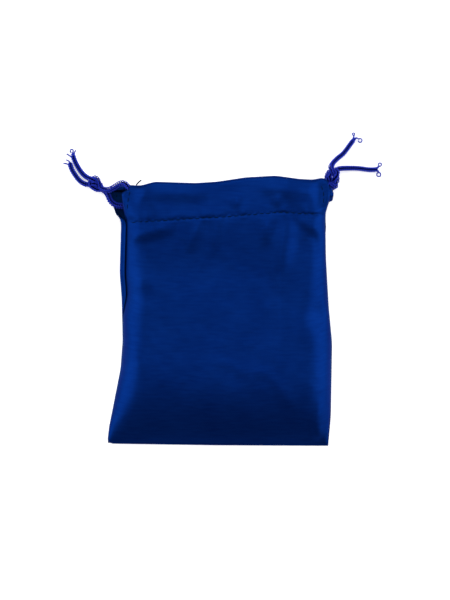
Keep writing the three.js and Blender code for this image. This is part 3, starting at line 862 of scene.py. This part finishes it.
def facing_rows(fold, hem_y, outer, inward, edges, inset):
    """The strip turned over inside the mouth, from the mouth fold down past the hem stitching."""
    first = fold[:, 0]
    share = np.abs(first) / np.where(first < 0.0, -first[0], first[-1])
    rows = [fold]
    for v in np.linspace(0.0, 1.0, FACING_ROWS)[1:]:
        y_left = mix(fold[0, 1], hem_y(first[0]) - HEM_LAP, v)
        y_right = mix(fold[-1, 1], hem_y(first[-1]) - HEM_LAP, v)
        turn_in = ease(0.0, 0.10, v)
        left = mix(first[0], edges[0](y_left) + inset, turn_in)
        right = mix(first[-1], edges[1](y_right) - inset, turn_in)
        x = np.where(first < 0.0, left, right) * share
        y = mix(mouth_start(x), hem_y(x) - HEM_LAP, v)
        opened = ease(hem_y(x) + TUNNEL_OPENS, hem_y(x) + TUNNEL_FULL, y)
        gap = mix(PRESSED, tunnel_height(x, inward), opened)
        rows.append(np.stack([x, y, outer(x, y) + inward * gap], axis=1))
    return np.array(rows)


def grid_normals(grid, out):
    """Normals of a grid of points; out is 1 where across x up points outwards."""
    across = np.gradient(grid, axis=1)
    up = np.gradient(grid, axis=0)
    return unit(np.cross(across, up)) * out


def grid_uv(grid):
    """Cloth coordinates in metres: distances along the cloth from its middle and bottom."""
    across = np.zeros(grid.shape[:2])
    across[:, 1:] = np.cumsum(np.linalg.norm(np.diff(grid, axis=1), axis=2), axis=1)
    across -= across[:, MIDDLE : MIDDLE + 1] if grid.shape[1] > MIDDLE else 0.0
    up = np.zeros(grid.shape[:2])
    up[1:] = np.cumsum(np.linalg.norm(np.diff(grid, axis=0), axis=2), axis=0)
    return np.stack([across, up], axis=2) * MM


def cloth_piece(name, grid, normals, uv, open_sides, thickness=CLOTH):
    """A closed piece of cloth round a grid of mid-surface points. Its free edges are rounded;
    open_sides names the sides ("left", "right", "low", "high") where it continues as another
    piece, which stay flat cuts."""
    half = thickness / 2
    verts = [(grid + normals * half).reshape(-1, 3), (grid - normals * half).reshape(-1, 3)]
    norms = [normals.reshape(-1, 3), -normals.reshape(-1, 3)]
    uvs = [uv.reshape(-1, 2), uv.reshape(-1, 2) + 0.31]
    under = grid.shape[0] * grid.shape[1]
    index = np.arange(under).reshape(grid.shape[:2])
    a, b = index[:-1, :-1].ravel(), index[:-1, 1:].ravel()
    c, d = index[1:, 1:].ravel(), index[1:, :-1].ravel()
    outside = np.dot(np.cross(grid[0, 1] - grid[0, 0], grid[1, 0] - grid[0, 0]), normals[0, 0]) > 0
    top = np.stack([a, b, c, d], axis=1)
    bottom = np.stack([a, d, c, b], axis=1) + under
    sides = {
        "low": (index[0, :], grid[0] - grid[1]),
        "right": (index[:, -1], grid[:, -1] - grid[:, -2]),
        "high": (index[-1, ::-1], (grid[-1] - grid[-2])[::-1]),
        "left": (index[::-1, 0], (grid[:, 0] - grid[:, 1])[::-1]),
    }
    faces = [top, bottom]
    count = 2 * under

    def join(near, far):
        faces.append(np.stack([near[:-1], far[:-1], far[1:], near[1:]], axis=1))

    for side, (ring, away) in sides.items():
        if side in open_sides:
            join(ring, ring + under)
            continue
        away = unit(away)
        middle = np.arange(len(ring)) + count
        verts.append(grid.reshape(-1, 3)[ring] + away * half)
        norms.append(away)
        uvs.append(uv.reshape(-1, 2)[ring])
        count += len(ring)
        join(ring, middle)
        join(middle, ring + under)
    faces = np.vstack(faces)
    inner = np.zeros(len(faces), np.int32)
    inner[len(top) : 2 * len(top)] = 1
    if not outside:
        faces = faces[:, ::-1]
    made = mesh_object(name, np.vstack(verts), faces, SATIN, np.vstack(uvs))
    made.data.materials.append(SATIN_INSIDE)
    made.data.polygons.foreach_set("material_index", inner)
    made.data.normals_split_custom_set_from_vertices(np.vstack(norms).tolist())
    made.data.update()
    return made


def gather(made):
    """Bakes the piece's placement into its mesh."""
    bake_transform(made)


def declare_sheet(grid):
    """Works out the flat size of a piece of cloth, measured along the cloth, but does not return it."""
    wide = np.linalg.norm(np.diff(grid, axis=1), axis=2).sum(axis=1).max()
    long = np.linalg.norm(np.diff(grid, axis=0), axis=2).sum(axis=0).max()
    a = grid[1:, 1:] - grid[:-1, :-1]
    b = grid[1:, :-1] - grid[:-1, 1:]
    area = 0.5 * np.linalg.norm(np.cross(a, b), axis=2).sum()
    flat = (float(wide * MM), float(long * MM))
    area = float(min(area * MM * MM, flat[0] * flat[1]))


def cloth_halves(name, grid, out, middle, node, cut):
    """Splits a panel down the middle into a left and a right piece."""
    normals = grid_normals(grid, out)
    uv = grid_uv(grid)
    if "low" in cut:
        normals[0] = (0.0, -1.0, 0.0)
    for side, columns, seam in (
        ("left", slice(0, middle + 1), "right"),
        ("right", slice(middle, None), "left"),
    ):
        made = cloth_piece(
            name + "_" + side, grid[:, columns], normals[:, columns], uv[:, columns], (seam, *cut)
        )
        gather(made)
        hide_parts(node)
        declare_sheet(grid[:, columns])


TURN_RADIUS = 0.85
TURN_LENGTH = 1.65
LEFT_TURN_EXTRA = 1.85
STRIP_SLOPE = 0.5


def unrolled(x, y):
    """How far the turned-up side has opened out flat: 1 beside the slits."""
    return np.where(x < 0.0, ease(33.0, 39.5, y), ease(29.0, 37.0, y))


def turned(length, x, y):
    """How far out and up the cloth lies, a given length past the start of the side turn. Past
    the half turn it slopes up over the front."""
    opening = unrolled(x, y)
    radius = TURN_RADIUS / np.maximum(0.001, 1.0 - opening)
    angle = np.minimum(math.pi, length / radius)
    past = np.maximum(0.0, length - math.pi * radius)
    return radius * np.sin(angle) - past, radius * (1.0 - np.cos(angle)) + STRIP_SLOPE * past


TURN_COLUMNS = np.linspace(0.0, 1.0, 16)[1:]
BACK_SLIT_LEFT = soft_line(
    [(31.0, -37.2), (33.3, -37.3), (35.2, -37.9), (36.9, -38.9), (39.0, -40.2), (41.0, -41.3),
     (43.0, -41.9), (45.0, -42.0), (46.0, -41.6)], 1.0)
BACK_SLIT_RIGHT = soft_line(
    [(34.0, 39.8), (38.4, 40.3), (41.4, 41.0), (42.6, 41.8), (43.4, 42.9), (47.4, 43.2),
     (48.8, 41.8)], 0.5)
BACK_FACING_LEFT_X = -33.8
BACK_FACING_LIFT = 3.9


def back_floor(x, y):
    """Height of the back panel: on the floor, and lifted along its sides up to the seams."""
    wave = 0.10 * (1.0 + value_noise(x, y, 12.0, 15.0, 21))
    wave = wave * ease(0.0, 6.0, y - along(BOTTOM_EDGE, x)) * (1.0 - ease(30.0, 34.0, y))
    lifted = seam_lift(y) * ease(20.0, 38.0, np.abs(x)) * (1.0 - ease(34.0, 40.5, y))
    return FLOOR_Z + wave + lifted


def back_rows():
    """The back panel from the bottom fold to the mouth, with both sides turned up at the seams."""
    rows = []
    count = len(TURN_COLUMNS)
    for v in growing_steps(97.0, 0.4, 1.1):
        y_left = mix(-49.0, 45.8, v)
        y_right = mix(-49.4, 48.8, v)
        left = along(LEFT_SIDE, y_left) + TURN_RADIUS + CLOTH / 2
        right = along(RIGHT_SIDE, y_right) - TURN_RADIUS - CLOTH / 2
        strip = TURN_LENGTH + LEFT_TURN_EXTRA * ease(*LEFT_STRIP_BLEND, y_left)
        left_length = mix(strip, left - along(BACK_SLIT_LEFT, y_left), unrolled(left, y_left))
        right_flat = along(BACK_SLIT_RIGHT, y_right) - right
        right_length = mix(TURN_LENGTH, right_flat, unrolled(right, y_right))
        flat_x = row_of_x(left, right)
        x = np.concatenate([np.full(count, left), flat_x, np.full(count, right)])
        turned_up = (left_length * TURN_COLUMNS[::-1], 0.0 * flat_x, right_length * TURN_COLUMNS)
        length = np.concatenate(turned_up)
        way = np.repeat([-1.0, 0.0, 1.0], [count, len(flat_x), count])
        y = mix(along(BOTTOM_EDGE, x) + NOSE_RADIUS, mouth_start(x), v)
        out, rise = turned(length, x, y)
        x = x + way * out
        rows.append(np.stack([x, y, back_floor(x, y) + rise], axis=1))
    return with_nose(rows, lambda start, drop: np.maximum(start, NOSE_Z - drop))


def back_lining(x, y):
    """Height below the back facing, which rises over the cords in the right slit."""
    rise = ease(39.4, 41.2, x) * ease(40.8, 43.6, y) - 0.08 * np.maximum(0.0, x - 41.8)
    return back_floor(x, y) + BACK_FACING_LIFT * np.maximum(0.0, rise)


BACK_MIDDLE = MIDDLE + len(TURN_COLUMNS)
front = with_mouth_fold(front_rows(), 1)
cloth_halves("front_panel_satin", front, 1, MIDDLE, "front_panel", ("low", "high"))
front_facing = facing_rows(
    front[-1], lambda x: along(HEM_LINE, x), front_height, -1, (front_left, front_right), 1.2)
cloth_halves("front_facing_satin", front_facing, 1, MIDDLE, "front_casing_facing", ("low",))
back = with_mouth_fold(back_rows(), -1)
cloth_halves("back_panel_satin", back, -1, BACK_MIDDLE, "back_panel", ("low", "high"))
back_facing = facing_rows(
    back[-1], lambda x: BACK_HEM_Y + 0.0 * x, back_lining, 1,
    (lambda y: BACK_FACING_LEFT_X, lambda y: along(BACK_SLIT_RIGHT, y)), 0.15)
cloth_halves("back_facing_satin", back_facing, -1, BACK_MIDDLE, "back_casing_facing", ("low",))


SEAMS = (("left", LEFT_SIDE, 1.0), ("right", RIGHT_SIDE, -1.0))
SEAM_START_Y = -46.5
SEAM_END_Y = 33.5
ALLOWANCE_OUTER = 2.6
ALLOWANCE_INNER = 7.2
ALLOWANCE_Z = 0.95
ALLOWANCE_THICKNESS = 0.7
ALLOWANCE_COLUMNS = 9


def seam_allowances():
    """The pressed edges of both panels, inside the bag beside each side seam."""
    for side, edge, way in SEAMS:
        rows = []
        for y in np.linspace(SEAM_START_Y, SEAM_END_Y, 60):
            ragged = 0.25 * value_noise(0.0, y, 5.0, 4.0, 31)
            start = along(edge, y) + way * ALLOWANCE_OUTER
            end = along(edge, y) + way * (ALLOWANCE_INNER + ragged)
            x = np.linspace(start, end, ALLOWANCE_COLUMNS)[:: int(way)]
            z = back_floor(x, y) + ALLOWANCE_Z + 0.12 * value_noise(x, y, 3.0, 5.0, 32)
            rows.append(np.stack([x, np.full(ALLOWANCE_COLUMNS, y), z], axis=1))
        grid = np.array(rows)
        made = cloth_piece(
            side + "_seam_allowance_satin", grid, grid_normals(grid, 1), grid_uv(grid), (),
            ALLOWANCE_THICKNESS,
        )
        gather(made)
        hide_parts(side + "_seam_allowance")


seam_allowances()


# ---- stitching
THREAD_RADIUS = 0.14
THREAD_SIDES = 7
STITCH_RINGS = 11
SEAM_THREAD_INSET = 2.9
SEAM_THREAD_Z = 1.1


def stitches(name, path, height, node, side, length=1.9, pitch=STITCH_PITCH, sink=0.38):
    """A row of separate stitches along a path of (x, y), each end going down into the cloth."""
    path = np.array(path, float)
    run = run_of(path)
    t = np.linspace(0.0, 1.0, STITCH_RINGS)
    from_middle = np.abs(2.0 * t - 1.0)
    fat = THREAD_RADIUS * np.sqrt(np.clip(1.0 - from_middle**6, 0.12, 1.0))
    verts, faces = [], []
    for number, start in enumerate(np.arange(0.2, run[-1] - length, pitch)):
        at = start + length * t
        x = np.interp(at, run, path[:, 0])
        y = np.interp(at, run, path[:, 1]) + 0.06 * math.sin(number * 2.4)
        z = height(x, y) + CLOTH / 2 + 0.10 - sink * from_middle**3
        line = np.stack([x, y, z], axis=1)
        heading, across, top = carried_frames(line)
        faces += closed_tube(STITCH_RINGS, THREAD_SIDES, number * STITCH_RINGS * THREAD_SIDES)
        verts.append(ring_points(line, across, top, fat, THREAD_SIDES).reshape(-1, 3))
    made = mesh_object(name, np.vstack(verts), faces, THREAD)
    gather(made)
    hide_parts(node)


def hem_stitching():
    """The rows that hold both turned-in edges down, each in two halves."""
    for side, low, high in (("left", -33.6, -0.2), ("right", 0.3, 38.2)):
        x = np.arange(low, high, 0.3)
        front_path = np.stack([x, along(HEM_LINE, x)], axis=1)
        back_path = np.stack([x, np.full(len(x), BACK_HEM_Y)], axis=1)
        rows = (("front", front_path, front_height), ("back", back_path, back_floor))
        for panel, path, height in rows:
            stitches(panel + "_hem_stitches_" + side, path, height, panel + "_hem_stitching", side)


SLIT_STITCHES = {
    "front_left": (front_height, [(-33.8, 45.4), (-34.5, 42.2), (-35.2, 36.6)], {}),
    "front_right": (front_height, [(38.3, 47.6), (39.2, 44.5), (39.2, 40.2)], {}),
    "back_left": (back_floor, [(-39.4, 44.9), (-39.2, 41.6)], {"length": 1.4, "pitch": 1.8}),
    "back_right": (back_floor, [(40.2, 42.4), (40.2, 38.1)], {"length": 1.6, "pitch": 2.1}),
}


def slit_stitching():
    """The short rows beside the four slit edges."""
    for place, (height, path, sizes) in SLIT_STITCHES.items():
        side = place.split("_")[1]
        stitches(place + "_slit_stitches", path, height, place + "_slit_stitching", side, **sizes)


def seam_stitching():
    """The long rows inside the bag that join front and back."""
    y = np.arange(SEAM_START_Y, SEAM_END_Y, 0.5)
    for side, edge, way in SEAMS:
        path = np.stack([along(edge, y) + way * SEAM_THREAD_INSET, y], axis=1)
        stitches(side + "_seam_stitches", path, lambda x, y: back_floor(x, y) + SEAM_THREAD_Z,
                 side + "_seam_stitching", side)


hem_stitching()
slit_stitching()
seam_stitching()


# ---- frayed ends and loose thread
def yarn(name, points, body, node, material, radius):
    """A single strand of yarn or thread, attached to the body if one is given."""
    made = tube(name, smooth_curve(points, 0.12), radius, material)
    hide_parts(node)
    if body:
        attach(made, body)
    return made


YARN_RADIUS = 0.24
YARN_ROOT_RADIUS = 0.46
LOOSE_THREAD_RADIUS = 0.26
# At every cut end the cord parts into strands, some of which end in a small loop of yarn
FRAYS = {
    "right_upper": [
        [(50.6, 64.8, 1.2), (50.9, 65.9, 1.0), (51.1, 66.6, 0.9)]
        + arc((51.0, 67.4, 0.8), 0.45, 200, -120),
        [(50.9, 65.0, 0.9), (51.9, 65.9, 0.8), (52.6, 65.8, 0.7)]
        + arc((53.5, 65.0, 0.6), 0.72, 140, -170),
    ],
    "right_lower": [
        [(59.3, 54.3, 1.2), (60.2, 54.7, 0.9), (60.6, 55.2, 0.8)]
        + arc((61.0, 55.8, 0.7), 0.62, 215, -110),
        [(59.4, 53.6, 0.8), (60.3, 53.3, 0.7), (60.5, 52.9, 0.6)]
        + arc((60.6, 52.0, 0.6), 0.78, 80, -240),
    ],
    "left_upper": [
        [(-55.9, 59.2, 1.2), (-56.0, 60.2, 1.0)] + arc((-56.4, 61.0, 0.8), 0.6, -30, 250),
        [(-55.6, 59.4, 1.2), (-55.3, 60.4, 1.0), (-54.9, 61.2, 0.8)],
        [(-56.2, 58.6, 0.9), (-57.1, 59.1, 0.7), (-58.3, 59.9, 0.5)],
    ],
    "left_lower": [
        [(-57.0, 55.2, 0.9), (-57.9, 55.9, 0.7), (-58.7, 56.2, 0.5), (-59.5, 56.3, 0.5)],
        [(-56.9, 56.2, 0.9), (-57.6, 57.2, 0.6), (-58.5, 57.6, 0.5)],
    ],
}
frays = {}
for end, lines in FRAYS.items():
    for number, points in enumerate(lines):
        side = end.split("_")[0]
        run = np.linspace(0.0, 1.0, len(smooth_curve(points, 0.12)))
        fat = mix(YARN_ROOT_RADIUS, YARN_RADIUS, ease(0.0, 0.45, run))
        made = yarn(
            end + "_tail_yarn" + ("" if number == 0 else "_" + str(number)), points, side + "_drawcord",
            end + "_tail_fray", YARN_END, fat,
        )
        frays.setdefault(side, []).append(made)

loose = yarn(
    "loose_hem_thread",
    [(-31.4, 47.6, 9.8), (-31.0, 48.1, 9.9), (-30.3, 48.8, 9.9), (-29.6, 49.4, 9.9)],
    None, "loose_thread_end", THREAD, LOOSE_THREAD_RADIUS,
)
gather(loose)


# ---- floor and light
FLOOR_HALF = 3.0
FLOOR_BELOW = 0.0001
FLOOR_GLOW = 0.45


def add_floor():
    """A pale matt floor just under the bag, which glows a little so that it stays white."""
    mesh = bpy.data.meshes.new("floor")
    corners = [(-1, -1), (1, -1), (1, 1), (-1, 1)]
    mesh.from_pydata(
        [(FLOOR_HALF * x, FLOOR_HALF * y, -FLOOR_BELOW) for x, y in corners], [], [(0, 1, 2, 3)]
    )
    material, nodes, links, shader = new_material("floor")
    fill(
        shader, Base_Color=(0.96, 0.96, 0.96, 1.0), Roughness=0.9, Specular_IOR_Level=0.1,
        Emission_Color=(1.0, 1.0, 1.0, 1.0), Emission_Strength=FLOOR_GLOW,
    )
    mesh.materials.append(material)
    floor = add_object("floor", mesh)


def area_light(name, location, size_x, size_y, power):
    """A softbox that faces the origin."""
    data = bpy.data.lights.new(name, "AREA")
    data.shape = "RECTANGLE"
    data.size = size_x
    data.size_y = size_y
    data.energy = power
    light = add_object(name, data)
    light.location = location
    towards = -Vector(location)
    light.rotation_euler = towards.to_track_quat("-Z", "Y").to_euler()


add_floor()
area_light("top_softbox", (0.0, 0.30, 1.20), 0.5, 0.8, 3.0)
for side, way in (("left", -1.0), ("right", 1.0)):
    area_light(side + "_softbox", (way, 0.12, 0.56), 1.0, 1.4, 10.8)
area_light("back_softbox", (0.0, 1.00, 0.85), 1.2, 0.5, 5.2)
world = bpy.data.worlds.new("studio")
world.use_nodes = True
fill(world.node_tree.nodes["Background"], Color=(1.0, 1.0, 1.0, 1.0), Strength=0.24)
bpy.context.scene.world = world
bpy.context.scene.view_settings.view_transform = "Standard"
